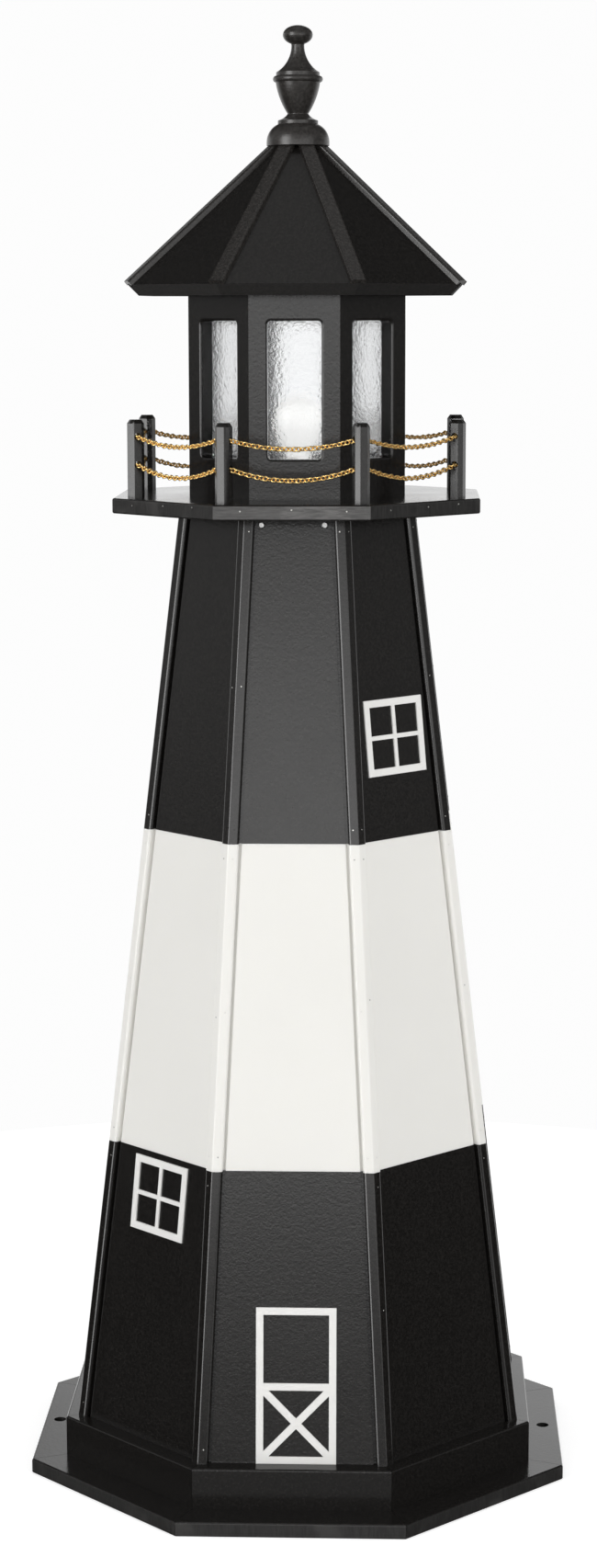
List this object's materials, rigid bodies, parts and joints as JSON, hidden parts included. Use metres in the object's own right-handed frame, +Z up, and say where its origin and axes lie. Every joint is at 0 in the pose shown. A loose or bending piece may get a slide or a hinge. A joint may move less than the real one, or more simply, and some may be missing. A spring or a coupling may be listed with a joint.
{
  "type": "garden lighthouse ornament",
  "caption": "Tall octagonal garden lighthouse of black and white board with a tapering banded tower, chained gallery, lit lantern room, hipped roof and turned finial; its top lifts off.",
  "frame": {"origin": "centre of the base's underside, on the ground", "axes": "+Z up, -Y towards the door side, +X to the right of the door"},
  "size_m": [0.68, 0.68, 1.822],
  "materials": {
    "black_board": "fine pebbled sheet, satin",
    "white_board": "fine pebbled sheet, satin",
    "inner_timber": "plain, unpainted",
    "zinc_tube": "zinc plated",
    "screw_steel": "stainless",
    "lamp_plastic": "smooth moulded",
    "bulb_glass": "opal",
    "chain_brass": "bright",
    "clear_pane": "clear sheet with a rippled face"
  },
  "bodies": {
    "root": {"base_boards": "black_board", "skirt_boards": "black_board", "lower_panel_1": "black_board", "lower_panel_2": "black_board", "lower_panel_3": "black_board", "lower_panel_4": "black_board", "lower_panel_5": "black_board", "lower_panel_6": "black_board", "lower_panel_7": "black_board", "lower_panel_8": "black_board", "band_panels": "white_board", "upper_panel_1": "black_board", "upper_panel_2": "black_board", "upper_panel_3": "black_board", "upper_panel_4": "black_board", "upper_panel_5": "black_board", "upper_panel_6": "black_board", "upper_panel_7": "black_board", "upper_panel_8": "black_board", "lower_corner_trims": "black_board", "band_corner_trims": "white_board", "upper_corner_trims": "black_board", "door_trim": "white_board", "upper_window_trim": "white_board", "lower_window_trim": "white_board", "lower_former": "inner_timber", "upper_former": "inner_timber", "lamp_platform": "inner_timber", "lamp_riser": "zinc_tube", "lamp_holder": "lamp_plastic", "bulb": "bulb_glass", "retaining_screws": "screw_steel"},
    "top": {"deck": "black_board", "deck_cleat": "inner_timber", "posts": "black_board", "upper_chain": "chain_brass", "lower_chain": "chain_brass", "lantern_wall_1": "black_board", "lantern_wall_2": "black_board", "lantern_wall_3": "black_board", "lantern_wall_4": "black_board", "lantern_wall_5": "black_board", "lantern_wall_6": "black_board", "lantern_wall_7": "black_board", "lantern_wall_8": "black_board", "window_panes": "clear_pane", "roof_plate": "inner_timber", "roof_hub": "inner_timber", "roof_panel_1": "black_board", "roof_panel_2": "black_board", "roof_panel_3": "black_board", "roof_panel_4": "black_board", "roof_panel_5": "black_board", "roof_panel_6": "black_board", "roof_panel_7": "black_board", "roof_panel_8": "black_board", "hip_battens": "black_board", "finial": "black_board"}
  },
  "joints": [
    {"name": "top_lift", "type": "slide", "parent": "root", "child": "top", "axis": [0, 0, 1], "range_m": [0, 0.25]}
  ]
}
